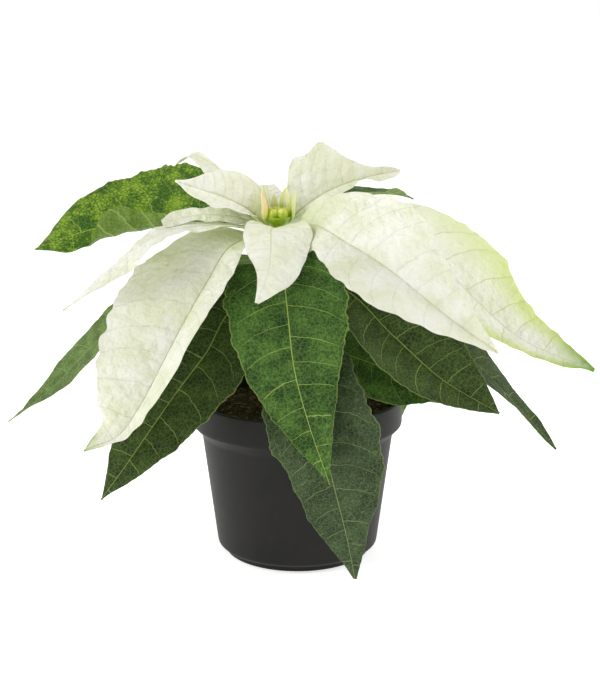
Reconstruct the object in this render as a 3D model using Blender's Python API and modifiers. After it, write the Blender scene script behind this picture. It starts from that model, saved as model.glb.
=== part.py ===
"""A potted white poinsettia: a plastic nursery pot filled with soil, one stem, dark green leaves on
petioles, and a star of creamy bracts round a cluster of green flower buds.

Metres, +Z up. The origin is under the middle of the pot, on the surface that it stands on, and the
side that faces -Y is the plant's front.
"""

import math

import bmesh
import bpy
import numpy as np
from mathutils import Vector, noise

MM = 0.001
MERGE = 0.01 * MM

# Driving dimensions of the pot, a 12 cm nursery pot
RIM_RADIUS = 60 * MM
POT_HEIGHT = 92 * MM
NECK_RADIUS = 54.8 * MM
BASE_RADIUS = 46.3 * MM
FOOT_RADIUS = 41.7 * MM
FOOT_WIDTH = 3 * MM
FOOT_HEIGHT = 4 * MM
FLOOR_RADIUS = 35.7 * MM
BASE_LIFT = 2 * MM
WALL = 1.2 * MM
LIP = 0.6 * MM
CORNER = 2 * MM
BAND_HEIGHT = 17 * MM
BAND_EDGE = 1.5 * MM
SHOULDER_HEIGHT = 4 * MM
PAD_RADIUS = 11 * MM
PAD_THICKNESS = 1.5 * MM
POT_SIDES = 40
DRAIN_RADIUS = 3.5 * MM
DRAIN_CIRCLE = 27 * MM
DRAIN_COUNT = 8
DRAIN_SIDES = 12
DRAIN_REACH = 20 * MM

# The soil, and the stem that stands in it; the lean runs from the stem's foot to its top
SEAT_GAP = 0.3 * MM
SOIL_GAP = 0.35 * MM
SOIL_LEVEL = 83 * MM
SOIL_RELIEF = 1.6 * MM
SOIL_LUMPS_PER_METRE = 110
SOIL_RINGS = 9
STEM_RADIUS = 3.8 * MM
STEM_TOP_RADIUS = 2.7 * MM
STEM_DEPTH = 24 * MM
STEM_TOP = 188 * MM
STEM_LEAN = [(0, 0), (0, 0), (-4, 1), (-8, 1), (-11, 0)]
STEM_STATIONS = 16

# The flower head at the top of the stem
SEAT_RADIUS = 7.4 * MM
SEAT_HEIGHT = 6 * MM
SEAT_SIDES = 16
BUD_COUNT = 5
BUD_CIRCLE = 4.6 * MM
BUD_RADIUS = 2.9 * MM
BUD_TALL = 8 * MM
BUD_LIFT = 1.8 * MM
BUD_TURN = math.radians(18)

# The young bracts round the flower head: the radius and height of the foot and the bend of each, and
# the radius at which its blade stands, all in millimetres from the top of the stem. Then, for each
# one, the way that it faces in degrees, how far it leans out, its height and its width
YOUNG_FOOT = (6.5, 3)
YOUNG_BEND = (8.3, 5.6)
YOUNG_STAND = 8.6
YOUNG_PETIOLE = 1.5
YOUNG_STALK = 0.6
YOUNG_FOLD = 24
YOUNG_BRACTS = [(205, 1, 15, 8), (150, 1, 17, 6), (104, 0, 12, 5), (58, 0.5, 16, 8), (5, 1.5, 15, 8)]

# Leaves and bracts: how far the first straight bit of a petiole runs, and how a blade is built up
STUB = 2 * MM
BLADE = 0.7 * MM
TIP_HALF_WIDTH = 0.8 * MM
RIB_TAPER = 0.8
RIB_DEPTH = 0.8
BLEND = 0.1
TOOTH_DEPTH = 0.07
WAVES = 2.5
WAVE_STARTS = (0, 0.37)
SMALL_ANGLE = 1e-4
PATH_STEPS = 400
LEAF_STATIONS = 17
BRACT_STATIONS = 13
PETIOLE_STATIONS = 4
YOUNG_STATIONS = (7, 2)
COLUMN_SHARES = (0, 0.5, 1)
COLUMN_ANGLES = (0, math.radians(40), math.radians(75))

GREEN = ((0.06, 0.14, 0.03), 0.45)
CREAM = ((0.80, 0.82, 0.66), 0.5)
YOUNG = ((0.68, 0.74, 0.34), 0.5)
BUD = ((0.30, 0.42, 0.04), 0.4)
STEM = ((0.16, 0.26, 0.06), 0.5)
PLASTIC = ((0.035, 0.034, 0.032), 0.45)
SOIL = ((0.030, 0.020, 0.012), 0.95)


def clear_scene():
    for obj in list(bpy.data.objects):
        bpy.data.objects.remove(obj)


def material(name, colour, roughness):
    made = bpy.data.materials.new(name)
    made.use_nodes = True
    shader = made.node_tree.nodes["Principled BSDF"]
    shader.inputs["Base Color"].default_value = (*colour, 1)
    shader.inputs["Roughness"].default_value = roughness
    return made


def collection(name):
    made = bpy.data.collections.new(name)
    bpy.context.scene.collection.children.link(made)
    return made


def mesh_of(shape, name):
    """The mesh of a bmesh, which is freed."""
    mesh = bpy.data.meshes.new(name)
    shape.to_mesh(mesh)
    shape.free()
    return mesh


def add(name, mesh, finish, where, smooth_angle=40):
    obj = bpy.data.objects.new(name, mesh)
    where.objects.link(obj)
    mesh.materials.append(finish)
    mesh.shade_smooth()
    mesh.set_sharp_from_angle(angle=math.radians(smooth_angle))
    return obj


def curve_through(values, at, places=None):
    """A smooth curve through values that stand evenly from 0 to 1, or at `places`, read at each of `at`."""
    values = np.asarray(values, float)
    if values.ndim == 0:
        return np.full(len(at), float(values))
    places = np.linspace(0, 1, len(values)) if places is None else places
    slopes = np.gradient(values, places, axis=0)
    at = np.clip(at, places[0], places[-1])
    k = np.clip(np.searchsorted(places, at, side="right") - 1, 0, len(values) - 2)
    columns = (-1,) + (1,) * (values.ndim - 1)
    width = (places[k + 1] - places[k]).reshape(columns)
    f = (at - places[k]).reshape(columns) / width
    start, end = values[k], values[k + 1]
    leave, arrive = slopes[k] * width, slopes[k + 1] * width
    return (start + f * leave + f ** 2 * (3 * (end - start) - 2 * leave - arrive)
            + f ** 3 * (2 * (start - end) + leave + arrive))


def unit(vectors):
    return vectors / np.linalg.norm(vectors, axis=-1, keepdims=True)


def stem_axis(height):
    """The middle of the stem at a height above the table, in metres."""
    share = (height - (SOIL_LEVEL - STEM_DEPTH)) / (STEM_TOP - SOIL_LEVEL + STEM_DEPTH)
    x, y = curve_through(STEM_LEAN, np.array([share]))[0] * MM
    return np.array([x, y, height])


def stem_radius(height):
    share = (height - SOIL_LEVEL) / (STEM_TOP - SOIL_LEVEL)
    return STEM_RADIUS + (STEM_TOP_RADIUS - STEM_RADIUS) * min(max(share, 0), 1)


class Leaf:
    """A leaf or bract: a petiole and midrib that follow points in space, and a blade whose two halves
    have their own widths, and fold, curl and wave about it. Sizes are in millimetres and angles in
    degrees. A shape value is a number, or a list that runs from the blade's base to its tip. Pairs are
    for the left half and the right one, as seen from the stem."""

    def __init__(self, height, points, petiole, halves, roll=0, fold=(10, 10), curl=(0, 0), wave=(1, 1),
                 rise=0.75, fall=1.1, teeth=0, stalk=1.2, seat=None):
        points = np.array(points, float) * MM
        if seat is None:
            axis = stem_axis(height * MM)
            away = unit((points[0] - axis) * [1, 1, 0])
            seat = axis + away * (stem_radius(height * MM) + SEAT_GAP)
            points = np.vstack([seat + away * STUB, points])
        self.points = np.vstack([seat, points])
        self.petiole, self.stalk = petiole * MM, stalk * MM
        self.halves, self.roll, self.fold, self.curl, self.wave = halves, roll, fold, curl, wave
        self.rise, self.fall, self.teeth = rise, fall, teeth
        run = self.distances(self.points)
        self.path = curve_through(self.points, np.linspace(0, run[-1], PATH_STEPS), run)
        self.run = self.distances(self.path)
        self.length = self.run[-1]

    @staticmethod
    def distances(points):
        steps = np.linalg.norm(np.diff(points, axis=0), axis=1)
        return np.concatenate([[0], np.cumsum(steps)])

    def midrib(self, share):
        """Points, and the directions to the left and up, at shares of the whole length."""
        heading = unit(np.gradient(self.path, self.run, axis=0))
        at = share * self.length
        point = np.stack([np.interp(at, self.run, self.path[:, k]) for k in range(3)], axis=1)
        along = unit(np.stack([np.interp(at, self.run, heading[:, k]) for k in range(3)], axis=1))
        reach = unit((self.points[-1] - self.points[0]) * [1, 1, 0])
        level = np.cross([0, 0, 1], reach)
        level = unit(level - (along @ level)[:, None] * along)
        up = np.cross(along, level)
        bare = self.petiole / self.length
        turn = np.radians(curve_through(self.roll, (share - bare) / (1 - bare)))[:, None]
        return point, level * np.cos(turn) + up * np.sin(turn), up * np.cos(turn) - level * np.sin(turn)

    def half_width(self, v, widths):
        """The width of half the blade along its length, with teeth if it has any. From one width it
        swells and tapers evenly; a list of widths it follows."""
        v = np.clip(v, 0, 1)
        if np.ndim(widths):
            half = curve_through(widths, v) * MM
        else:
            widest = self.rise / (self.rise + self.fall)
            half = widths * MM * (v / widest) ** self.rise * ((1 - v) / (1 - widest)) ** self.fall
        if self.teeth:
            half = half * (1 - TOOTH_DEPTH * (np.round(v * 2 * self.teeth) % 2))
        return np.maximum(half, TIP_HALF_WIDTH)

    def rows(self, blade_stations, petiole_stations):
        """Top and bottom points, as stations by columns from the left margin to the right one."""
        bare = self.petiole / self.length
        stalk_at = np.linspace(0, bare, petiole_stations, endpoint=False)
        share = np.concatenate([stalk_at, bare + (1 - bare) * np.linspace(0, 1, blade_stations)])
        v = (share - bare) / (1 - bare)
        point, left, up = self.midrib(share)
        rib = self.stalk * (1 - RIB_TAPER * np.clip(v, 0, 1))
        flat = np.clip(v / BLEND, 0, 1)
        top, bottom = [], []
        sides = zip((1, -1), self.halves, self.fold, self.curl, self.wave, WAVE_STARTS)
        for side, widths, fold, curl, wave, start in sides:
            half = self.half_width(v, widths)
            tilt = np.radians(curve_through(fold, v))
            bend = np.radians(curve_through(curl, v)) + SMALL_ANGLE
            crest = np.sin(2 * np.pi * (WAVES * v + start))
            lift = curve_through(wave, v) * MM * crest
            for angle, q in zip(COLUMN_ANGLES, COLUMN_SHARES):
                out = half / bend * (np.sin(tilt + bend * q) - np.sin(tilt))
                rise = half / bend * (np.cos(tilt) - np.cos(tilt + bend * q)) + lift * q ** 2
                slope = (tilt + bend * q) * (q > 0)
                thick = BLADE + (RIB_DEPTH * rib if q == 0 else 0)
                x = (1 - flat) * rib * math.sin(angle) + flat * out
                middle = point + (side * x)[:, None] * left + (flat * rise)[:, None] * up
                normal = np.cos(slope)[:, None] * up - (side * np.sin(slope))[:, None] * left
                around = ((1 - flat) * rib * math.cos(angle))[:, None] * up
                top.append(middle + around)
                bottom.append(middle - around - (flat * thick)[:, None] * normal)
        count = len(COLUMN_SHARES)
        order = list(range(count - 1, -1, -1)) + list(range(count + 1, 2 * count))
        return np.stack(top, axis=1)[:, order], np.stack(bottom, axis=1)[:, order]

    def mesh(self, name, blade_stations, petiole_stations=PETIOLE_STATIONS):
        """A closed solid, split into triangles alike on both faces, so that a waved blade keeps its
        thickness."""
        top, bottom = self.rows(blade_stations, petiole_stations)
        stations, columns = top.shape[:2]
        shape = bmesh.new()
        upper = [[shape.verts.new(p) for p in row] for row in top]
        lower = [[shape.verts.new(p) for p in row] for row in bottom]
        for i in range(stations - 1):
            for j in range(columns - 1):
                a, b, c, d = upper[i][j], upper[i][j + 1], upper[i + 1][j + 1], upper[i + 1][j]
                e, f, g, h = lower[i][j], lower[i][j + 1], lower[i + 1][j + 1], lower[i + 1][j]
                if j < columns // 2:
                    halves = (a, b, c), (a, c, d), (e, g, f), (e, h, g)
                else:
                    halves = (a, b, d), (b, c, d), (e, h, f), (f, h, g)
                for corners in halves:
                    shape.faces.new(corners)
            for j in (0, columns - 1):
                shape.faces.new((upper[i][j], upper[i + 1][j], lower[i][j]))
                shape.faces.new((upper[i + 1][j], lower[i + 1][j], lower[i][j]))
        shape.faces.new(upper[0][::-1] + lower[0])
        shape.faces.new(upper[-1] + lower[-1][::-1])
        bmesh.ops.recalc_face_normals(shape, faces=shape.faces)
        return mesh_of(shape, name)


def turned(name, profile, sides, finish, where):
    """A solid of revolution: a closed profile of (radius, height) points, run round the Z axis."""
    mesh = bpy.data.meshes.new(name)
    count = len(profile)
    edges = [(k, k + 1) for k in range(count - 1)]
    mesh.from_pydata([(r, 0, z) for r, z in profile], edges, [])
    obj = add(name, mesh, finish, where)
    screw = obj.modifiers.new("Turn", "SCREW")
    screw.steps = screw.render_steps = sides
    screw.use_merge_vertices = True
    screw.merge_threshold = MERGE
    return obj


def settle(obj):
    """The object's modifiers, applied to its mesh."""
    graph = bpy.context.evaluated_depsgraph_get()
    mesh = bpy.data.meshes.new_from_object(obj.evaluated_get(graph))
    obj.modifiers.clear()
    obj.data = mesh
    return obj


def pot_inside(gap=0.0):
    """The pot's inside in half section, from the middle of its floor up to its band, drawn in by a gap."""
    band = POT_HEIGHT - BAND_HEIGHT
    wall = WALL + gap
    floor = BASE_LIFT + wall
    return [
        (0, PAD_THICKNESS + gap), (PAD_RADIUS, PAD_THICKNESS + gap), (PAD_RADIUS + BASE_LIFT, floor),
        (FLOOR_RADIUS, floor), (BASE_RADIUS - wall - CORNER, FOOT_HEIGHT + CORNER + gap),
        (BASE_RADIUS - wall, FOOT_HEIGHT + 2 * CORNER), (NECK_RADIUS - wall, band - SHOULDER_HEIGHT),
        (RIM_RADIUS - wall - BAND_EDGE, band),
    ]


def drain_cutter(turn, where):
    """A short cylinder that cuts one of the holes in the pot's base."""
    shape = bmesh.new()
    bmesh.ops.create_cone(shape, cap_ends=True, segments=DRAIN_SIDES, radius1=DRAIN_RADIUS,
                          radius2=DRAIN_RADIUS, depth=DRAIN_REACH)
    cutter = bpy.data.objects.new("drain_cutter", mesh_of(shape, "drain_cutter"))
    cutter.location = (DRAIN_CIRCLE * math.cos(turn), DRAIN_CIRCLE * math.sin(turn), BASE_LIFT)
    cutter.hide_render = True
    cutter.display_type = "WIRE"
    where.objects.link(cutter)


def pot(where, cutters):
    """The nursery pot: a thin tapered cup with a raised band round its rim and a set-in foot."""
    band = POT_HEIGHT - BAND_HEIGHT
    foot_inside = FOOT_RADIUS - FOOT_WIDTH
    outside = [
        (RIM_RADIUS - WALL - LIP, POT_HEIGHT), (RIM_RADIUS - LIP, POT_HEIGHT),
        (RIM_RADIUS, POT_HEIGHT - LIP), (RIM_RADIUS, band + BAND_EDGE), (RIM_RADIUS - BAND_EDGE, band),
        (NECK_RADIUS, band - SHOULDER_HEIGHT),
        (BASE_RADIUS, FOOT_HEIGHT + BAND_EDGE), (BASE_RADIUS - BAND_EDGE, FOOT_HEIGHT),
        (FOOT_RADIUS + LIP, FOOT_HEIGHT - LIP), (FOOT_RADIUS, 0), (foot_inside, 0),
        (foot_inside - WALL, BASE_LIFT), (PAD_RADIUS + BASE_LIFT, BASE_LIFT), (PAD_RADIUS, 0), (0, 0),
    ]
    obj = turned("pot", pot_inside() + outside, POT_SIDES, material("pot_plastic", *PLASTIC), where)
    for k in range(DRAIN_COUNT):
        drain_cutter(2 * math.pi * k / DRAIN_COUNT, cutters)
    drains = obj.modifiers.new("Drain holes", "BOOLEAN")
    drains.operand_type = "COLLECTION"
    drains.collection = cutters
    return obj


def soil(where):
    """The soil that fills the pot to just under its rim, with a rough top and a hole for the stem."""
    hole = STEM_RADIUS + 2 * SEAT_GAP
    foot = SOIL_LEVEL - STEM_DEPTH
    side = pot_inside(SOIL_GAP)
    top = [(radius, SOIL_LEVEL) for radius in np.linspace(hole, side[-1][0], SOIL_RINGS + 1)]
    profile = [(0, foot), (hole, foot)] + top + side[::-1]
    obj = settle(turned("soil", profile, POT_SIDES, material("potting_soil", *SOIL), where))
    for vertex in obj.data.vertices:
        beyond_hole = math.hypot(vertex.co.x, vertex.co.y) > hole + SEAT_GAP
        if beyond_hole and vertex.co.z > SOIL_LEVEL - SEAT_GAP:
            vertex.co.z += SOIL_RELIEF * noise.noise(vertex.co * SOIL_LUMPS_PER_METRE)
    return obj


def stem(where):
    """The plant's one stem, upright from the soil to the flower head, with a small lean."""
    heights = np.linspace(SOIL_LEVEL - STEM_DEPTH + SEAT_GAP, STEM_TOP, STEM_STATIONS)
    line = bpy.data.curves.new("stem", "CURVE")
    line.dimensions = "3D"
    line.bevel_depth = 1
    line.bevel_resolution = 4
    line.use_fill_caps = True
    spline = line.splines.new("POLY")
    spline.points.add(len(heights) - 1)
    for point, height in zip(spline.points, heights):
        point.co = (*stem_axis(height), 1)
        point.radius = stem_radius(height)
    guide = bpy.data.objects.new("stem_guide", line)
    where.objects.link(guide)
    mesh = bpy.data.meshes.new_from_object(guide.evaluated_get(bpy.context.evaluated_depsgraph_get()))
    bpy.data.objects.remove(guide)
    shape = bmesh.new()
    shape.from_mesh(mesh)
    bmesh.ops.remove_doubles(shape, verts=shape.verts, dist=MERGE)
    return add("stem", mesh_of(shape, "stem"), material("stem_green", *STEM), where)


def bud(place, where):
    """One green bud, an upright egg."""
    shape = bmesh.new()
    bmesh.ops.create_uvsphere(shape, u_segments=8, v_segments=6, radius=1)
    bmesh.ops.scale(shape, verts=shape.verts, vec=(BUD_RADIUS, BUD_RADIUS, BUD_TALL / 2))
    bmesh.ops.translate(shape, verts=shape.verts, vec=place)
    where.objects.link(bpy.data.objects.new("bud", mesh_of(shape, "bud")))


def flower_buds(where):
    """The cyathia: a tight cluster of green buds in a small round seat at the top of the stem."""
    x, y, z = stem_axis(STEM_TOP)
    seat = bmesh.new()
    bmesh.ops.create_cone(seat, cap_ends=True, segments=SEAT_SIDES, radius1=STEM_TOP_RADIUS,
                          radius2=SEAT_RADIUS, depth=SEAT_HEIGHT)
    bmesh.ops.translate(seat, verts=seat.verts, vec=(x, y, z + SEAT_GAP + SEAT_HEIGHT / 2))
    buds = collection("buds")
    level = z + SEAT_HEIGHT + BUD_LIFT
    bud((x, y, level), buds)
    for k in range(BUD_COUNT):
        turn = 2 * math.pi * k / BUD_COUNT + BUD_TURN
        bud((x + BUD_CIRCLE * math.cos(turn), y + BUD_CIRCLE * math.sin(turn), level), buds)
    obj = add("flower_buds", mesh_of(seat, "flower_buds"), material("bud_green", *BUD), where)
    join = obj.modifiers.new("Buds", "BOOLEAN")
    join.operation = "UNION"
    join.operand_type = "COLLECTION"
    join.collection = buds
    settle(obj)
    for helper in list(buds.objects):
        bpy.data.objects.remove(helper)
    return obj


def young_bract(turn, lean, tall, width):
    """A narrow young bract that grows from the side of the flower head's seat and leans out a little."""
    top = stem_axis(STEM_TOP) / MM
    out = np.array([math.cos(turn), math.sin(turn), 0])
    bend = YOUNG_BEND[1]
    blade = [(YOUNG_STAND + lean * share, bend + tall * share) for share in (0.5, 1)]
    path = [YOUNG_FOOT, YOUNG_BEND, *blade]
    foot, *points = [top + radius * out + [0, 0, height] for radius, height in path]
    return Leaf(0, points, petiole=YOUNG_PETIOLE, halves=(width / 2, width / 2), wave=(0, 0), rise=0.5,
                fold=(YOUNG_FOLD, YOUNG_FOLD), fall=0.7, stalk=YOUNG_STALK, seat=foot * MM)


# Each green leaf: the height at which its petiole leaves the stem, and the points that its petiole
# and midrib pass through, in millimetres
LEAVES = {
    "leaf_front": Leaf(
        150, [(-7, -14, 166), (-8, -23, 173), (-7, -34, 165), (-5, -48, 149), (-1, -68, 121), (6, -78, 97),
              (17, -85, 66)],
        petiole=20, halves=(34, 34), roll=[8, 16, 14], fold=(4, 4), rise=0.45, fall=1.15, teeth=7),
    "leaf_low_front": Leaf(
        112, [(0, -20, 122), (3, -38, 126), (6, -52, 118), (11, -66, 96), (19, -74, 63), (26, -76, 35),
              (31, -74, 9)],
        halves=([1, 21, 26, 28, 32, 31, 28, 22, 13, 7, 1], [1, 21, 27, 29, 29, 24, 21, 18, 13, 7, 1]),
        petiole=36, roll=[30, 30, 35], fold=(8, 8), teeth=7),
    "leaf_front_left": Leaf(
        128, [(-14, -10, 141), (-24, -15, 149), (-34, -22, 147), (-50, -42, 125), (-64, -53, 108),
              (-79, -64, 88), (-92, -70, 70), (-104, -74, 54)],
        petiole=24, halves=(29, 29), roll=-48, fold=(24, 2), teeth=7),
    "leaf_left": Leaf(
        136, [(-26, -4, 152), (-54, -10, 160), (-82, -16, 150), (-110, -22, 129), (-137, -28, 102),
              (-160, -32, 85)],
        petiole=46, halves=(22, 22), roll=-12, fold=(8, 2), teeth=7),
    "leaf_back_left": Leaf(
        160, [(-18, 18, 172), (-28, 34, 186), (-44, 48, 192), (-82, 58, 184), (-124, 58, 178),
              (-156, 48, 168)],
        halves=([4, 20, 26, 28, 28, 27, 35, 32, 17, 12, 1], [2, 14, 21, 36, 43, 45, 42, 35, 26, 15, 1]),
        petiole=42, roll=[-45, -42, -30], fold=([2, 0, -5, -10, -30, 0], 5), wave=(0.5, 2), teeth=9,
        curl=([0, 30, 60, 90, 120, 140, 165, 155, 60, 10, 0], -8)),
    "leaf_front_right": Leaf(
        145, [(4, -8, 155), (14, -16, 160), (24, -22, 158), (52, -39, 135), (79, -52, 113), (108, -58, 97)],
        petiole=34, halves=(28, 28), roll=42, fold=(25, 30), rise=1.0),
    "leaf_right": Leaf(
        138, [(18, -2, 152), (38, -6, 151), (60, -8, 141), (97, -14, 117), (117, -18, 97), (146, -22, 66)],
        petiole=38, halves=(22, 22), roll=8, fold=(5, 8)),
    "leaf_low_right": Leaf(
        118, [(10, -7, 122), (24, -14, 120), (47, -20, 113), (70, -19, 105), (91, -14, 93)],
        petiole=16, halves=([9, 22, 29, 30, 29, 27, 24, 20, 15, 8, 1], 27), roll=25, fold=(0, -5), teeth=7),
    "leaf_back_right": Leaf(
        166, [(-1, 14, 180), (9, 30, 191), (31, 60, 197), (63, 90, 195), (72, 97, 192)],
        petiole=32, halves=(20, 20), fold=(20, 20), curl=(-10, -10), teeth=7),
    "leaf_back": Leaf(
        155, [(-13, 18, 163), (-16, 38, 164), (-22, 62, 145), (-26, 80, 114), (-26, 90, 82)],
        petiole=30, halves=(28, 28), fold=(12, 12), curl=(-10, -10), wave=(1.5, 1.5), teeth=7),
    "leaf_low_back": Leaf(
        120, [(8, 14, 130), (22, 32, 134), (42, 56, 116), (58, 76, 84), (66, 86, 50)],
        petiole=32, halves=(27, 27), fold=(12, 12), curl=(-10, -10), wave=(1.5, 1.5), teeth=7),
    "leaf_low_left": Leaf(
        124, [(-22, 8, 138), (-44, 20, 141), (-68, 36, 122), (-88, 48, 90), (-98, 56, 56)],
        petiole=34, halves=(26, 26), fold=(12, 12), curl=(-10, -10), wave=(1.5, 1.5), teeth=7),
}

BRACTS = {
    "bract_front": Leaf(
        184, [(-12, -10, 189), (-14, -18, 190), (-14, -30, 186), (-15, -46, 172), (-21, -58, 157)],
        petiole=5, halves=([12, 22, 21, 18, 11, 1], [12, 14, 15, 12, 5, 1]), roll=-5,
        fold=([30, 5, -18, -22, -22, -22], [20, 5, 5, 15, 25, 30]), wave=(0.5, 0.5)),
    "bract_front_left": Leaf(
        176, [(-20, -5, 183), (-32, -11, 182), (-50, -34, 161), (-62, -48, 141), (-73, -60, 121),
              (-83, -68, 103), (-94, -73, 89), (-112, -76, 82)],
        petiole=10, halves=(22, 39), roll=[-40, -46, -48, -30], fold=([40, 60, 66, 40], [-22, -8, 2, 2]),
        curl=(-10, 0), rise=0.7, fall=0.9),
    "bract_left": Leaf(
        179.5, [(-19, -3, 186), (-32, -6, 190), (-53, -13, 191), (-75, -22, 188), (-99, -30, 171),
                (-127, -36, 148)],
        halves=([1, 4, 6, 6, 10, 16, 18, 16, 13, 7, 1], [1, 3, 4, 6, 12, 16, 10, 5, 4, 2, 1]),
        petiole=12, fold=(-5, [20, 20, 5, 0, 0, 0]), wave=(1, 0.5)),
    "bract_upper_left": Leaf(
        186, [(-17, 4, 188.5), (-22, 5, 193), (-31, 3, 200), (-43, -1, 206), (-57, -4, 211),
              (-67, -7, 215)],
        halves=([1, 11, 13, 13, 14, 16, 18, 17, 14, 8, 1], [1, 9, 14, 15, 16, 16, 14, 10, 6, 3, 1]),
        petiole=9, roll=-55, fold=([60, 40, 40], 26), wave=(0.5, 1)),
    "bract_back_left": Leaf(
        179, [(-17, 9, 185), (-26, 17, 197), (-38, 26, 210), (-51, 37, 221), (-61, 42, 224),
              (-70, 42, 220)],
        halves=([4, 10, 14, 15, 14, 12, 10, 8, 6, 4, 1], [4, 5, 5, 4, 3, 3, 2, 1, 3, 4, 1]),
        petiole=20, roll=-20, fold=(10, 10), curl=(-10, -10)),
    "bract_back_small": Leaf(
        182.5, [(-14, 8, 187), (-15, 12, 198), (-17, 18, 207), (-18, 25, 209), (-19, 31, 205)],
        petiole=8, halves=(8.5, 8.5), fold=(0, 0), wave=(0, 0)),
    "bract_upper_right": Leaf(
        185, [(-8, 7, 187.5), (-4, 11, 191), (3, 13, 197), (14, 13, 205), (37, 14, 214), (58, 16, 218)],
        halves=([2, 8, 17, 26, 24, 26, 16, 10, 5, 3, 1], [2, 3, 5, 12, 15, 10, 6, 1, 11, 8, 1]),
        petiole=10, roll=35, fold=(40, 20)),
    "bract_front_right": Leaf(
        181, [(3, -9, 190), (29, -36, 184), (48, -52, 174), (79, -68, 151), (104, -74, 134)],
        halves=([6, 15, 26, 31, 34, 31, 25, 19, 13, 6, 1], [14, 22, 14, 19, 27, 31, 31, 24, 16, 7, 1]),
        petiole=8, roll=[20, 35, 35, 35], fold=(28, [-45, -20, 15, 23, 23, 23])),
    "bract_right": Leaf(
        176, [(2, 2, 187), (29, 4, 195), (60, 0, 186), (85, -8, 163), (126, -22, 128), (163, -32, 114)],
        halves=([1, 9, 16, 26, 34, 35, 30, 24, 18, 9, 1], [1, 10, 19, 26, 28, 27, 24, 18, 12, 7, 1]),
        petiole=30, roll=30, fold=(12, [20, 22, 12, 12, 20])),
    "bract_left_small": Leaf(
        183, [(-19, 0, 188), (-26, -1, 192), (-38, -4, 195.5), (-56, -8, 196), (-74, -13, 192.5)],
        halves=([1, 2, 4, 5, 5, 5, 5, 4, 4, 4, 3], [1, 3, 6, 7, 7, 7, 6, 6, 6, 6, 3]),
        petiole=7, roll=-40, fold=(0, 0), wave=(0, 0.5)),
    "bract_back": Leaf(
        174, [(-9, 14, 185), (-8, 34, 190), (-8, 62, 180), (-10, 88, 156), (-11, 104, 128)],
        petiole=28, halves=(25, 25), fold=(10, 10), curl=(-10, -10)),
    "bract_back_right": Leaf(
        171, [(4, 7, 181), (24, 17, 187), (48, 30, 184), (70, 43, 167), (86, 53, 142)],
        petiole=18, halves=(21, 21), fold=(10, 10), curl=(-10, -10)),
}


def main():
    clear_scene()
    plant = collection("potted_poinsettia")
    cutters = collection("cutters")
    pot(plant, cutters)
    soil(plant)
    stem(plant)
    flower_buds(plant)
    green = material("leaf_green", *GREEN)
    cream = material("bract_cream", *CREAM)
    young = material("young_bract", *YOUNG)
    for name, leaf in LEAVES.items():
        add(name, leaf.mesh(name, LEAF_STATIONS), green, plant)
    for name, bract in BRACTS.items():
        add(name, bract.mesh(name, BRACT_STATIONS), cream, plant)
    for k, (turn, lean, tall, width) in enumerate(YOUNG_BRACTS, 1):
        name = f"young_bract_{k}"
        bract = young_bract(math.radians(turn), lean, tall, width)
        add(name, bract.mesh(name, *YOUNG_STATIONS), young, plant)


main()
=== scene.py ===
"""A potted white poinsettia: creamy bracts round green flower buds, dark green leaves and a nursery pot."""

import math

import bmesh
import bpy
import numpy as np
from mathutils import Matrix, Vector, noise


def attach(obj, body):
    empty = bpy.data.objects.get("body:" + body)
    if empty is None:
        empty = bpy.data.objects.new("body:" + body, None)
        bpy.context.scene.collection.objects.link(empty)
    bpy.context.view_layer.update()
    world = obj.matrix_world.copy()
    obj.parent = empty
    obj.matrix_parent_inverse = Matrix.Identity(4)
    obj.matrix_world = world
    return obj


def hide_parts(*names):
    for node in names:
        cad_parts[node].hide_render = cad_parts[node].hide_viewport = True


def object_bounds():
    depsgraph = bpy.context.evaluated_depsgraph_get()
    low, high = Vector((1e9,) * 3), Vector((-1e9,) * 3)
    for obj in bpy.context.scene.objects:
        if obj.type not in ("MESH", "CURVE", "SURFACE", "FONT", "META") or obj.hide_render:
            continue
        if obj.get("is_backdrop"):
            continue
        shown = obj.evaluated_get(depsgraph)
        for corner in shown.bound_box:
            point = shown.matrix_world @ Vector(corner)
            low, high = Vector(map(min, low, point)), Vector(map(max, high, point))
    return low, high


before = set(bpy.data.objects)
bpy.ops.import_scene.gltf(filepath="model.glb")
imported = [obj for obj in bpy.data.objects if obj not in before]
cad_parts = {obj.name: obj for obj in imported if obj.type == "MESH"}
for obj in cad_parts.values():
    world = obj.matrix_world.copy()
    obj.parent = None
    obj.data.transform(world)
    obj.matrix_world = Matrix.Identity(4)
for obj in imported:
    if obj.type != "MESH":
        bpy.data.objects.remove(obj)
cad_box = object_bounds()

# The nursery pot: one thin cup of charcoal plastic with a taller band round its rim and a set-in foot.
# It is moulded in one go, so its edges are soft and its skin is faintly grained, and round holes in
# its base let water out.

MM = 0.001
RIM_RADIUS = 60 * MM
POT_HEIGHT = 92 * MM
NECK_RADIUS = 54.8 * MM
BASE_RADIUS = 46.3 * MM
FOOT_RADIUS = 41.7 * MM
FOOT_WIDTH = 3 * MM
FOOT_HEIGHT = 4 * MM
FLOOR_RADIUS = 35.7 * MM
BASE_LIFT = 2 * MM
WALL = 1.2 * MM
LIP = 0.6 * MM
CORNER = 2 * MM
BAND_BOTTOM = POT_HEIGHT - 17 * MM
BAND_EDGE = 1.5 * MM
SHOULDER_HEIGHT = 4 * MM
PAD_RADIUS = 11 * MM
PAD_THICKNESS = 1.5 * MM
DRAIN_RADIUS = 3.5 * MM
DRAIN_CIRCLE = 27 * MM
DRAIN_COUNT = 8
DRAIN_SIDES = 32
PUNCH_LENGTH = 20 * MM
POT_STEPS = 180
POT_ROUNDING = 1.6 * MM
# A rounded corner takes at most this share of each side
CORNER_SHARE = 0.32
CORNER_STEPS = 4
WELD = 0.01 * MM
SMOOTH_ANGLE = math.radians(45)
# The scale of a pattern counts its lumps per metre
POT_GRAIN = 2600
POT_CLOUDS = 38
POT_SCUFFS = 210


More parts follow.
